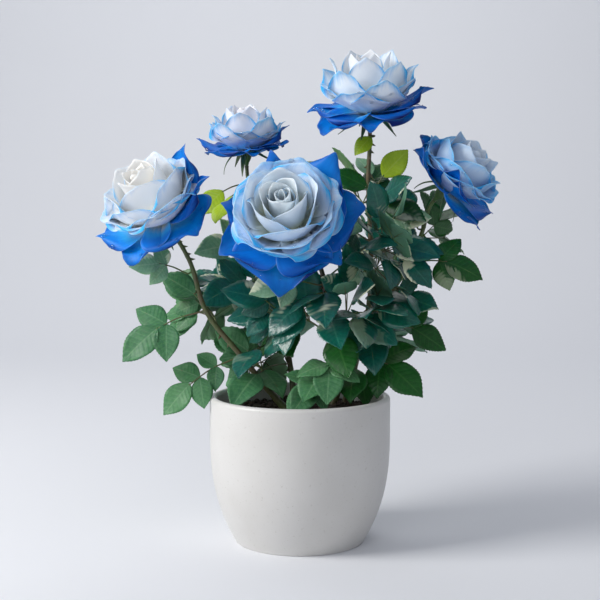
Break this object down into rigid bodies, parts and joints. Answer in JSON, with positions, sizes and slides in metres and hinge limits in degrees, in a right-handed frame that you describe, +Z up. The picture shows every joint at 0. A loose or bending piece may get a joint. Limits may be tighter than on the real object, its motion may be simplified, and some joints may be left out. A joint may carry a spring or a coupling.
{
  "type": "potted rose bush",
  "caption": "Rose bush with large double blooms on tall canes and leafy side shoots, growing in a round white ceramic pot filled with dark potting mix.",
  "frame": {"origin": "centre of the pot's flat underside", "axes": "+Z up along the pot's axis, -Y towards the bush's front, +X to the right seen from the front"},
  "size_m": [0.3483, 0.2507, 0.4299],
  "materials": {
    "pot": "matt off-white with faint fine speckle",
    "soil": "dark moist crumbly potting mix",
    "bark": "satin green to brown young bark with small prickles",
    "petals": "velvety petals, creamy white in the heart, deep blue at the edges",
    "leaves": "satin green leaflets with sunk veins and toothed edges"
  },
  "bodies": {
    "root": {"bloom_back": "petals", "bloom_front": "petals", "bloom_left": "petals", "bloom_right": "petals", "bloom_top": "petals", "cane_back": "bark", "cane_front": "bark", "cane_left": "bark", "cane_right": "bark", "cane_top": "bark", "leaf_back_lime": "leaves", "leaf_front_curled": "leaves", "leaf_front_left": "leaves", "leaf_left_high": "leaves", "leaf_left_inner": "leaves", "leaf_left_low": "leaves", "leaf_left_mid": "leaves", "leaf_left_upper": "leaves", "leaf_low_front_left": "leaves", "leaf_low_front_mid": "leaves", "leaf_low_front_right": "leaves", "leaf_low_right": "leaves", "leaf_low_right_small": "leaves", "leaf_right_dark": "leaves", "leaf_right_high": "leaves", "leaf_right_mid": "leaves", "leaf_right_top": "leaves", "leaf_top_lime": "leaves", "leaf_top_mid_left": "leaves", "leaf_top_mid_right": "leaves", "pot": "pot", "shoot_back_base": "leaves", "shoot_back_left": "leaves", "shoot_back_rear": "leaves", "shoot_back_upper": "leaves", "shoot_front_inner": "leaves", "shoot_front_right": "leaves", "shoot_front_side": "leaves", "shoot_left_base": "leaves", "shoot_left_rear": "leaves", "shoot_right_back": "leaves", "shoot_right_front": "leaves", "shoot_right_upper_back": "leaves", "shoot_top_back": "leaves", "shoot_top_base": "leaves", "shoot_top_front": "leaves", "shoot_top_low": "leaves", "shoot_top_upper_back": "leaves", "soil": "soil"}
  },
  "joints": []
}
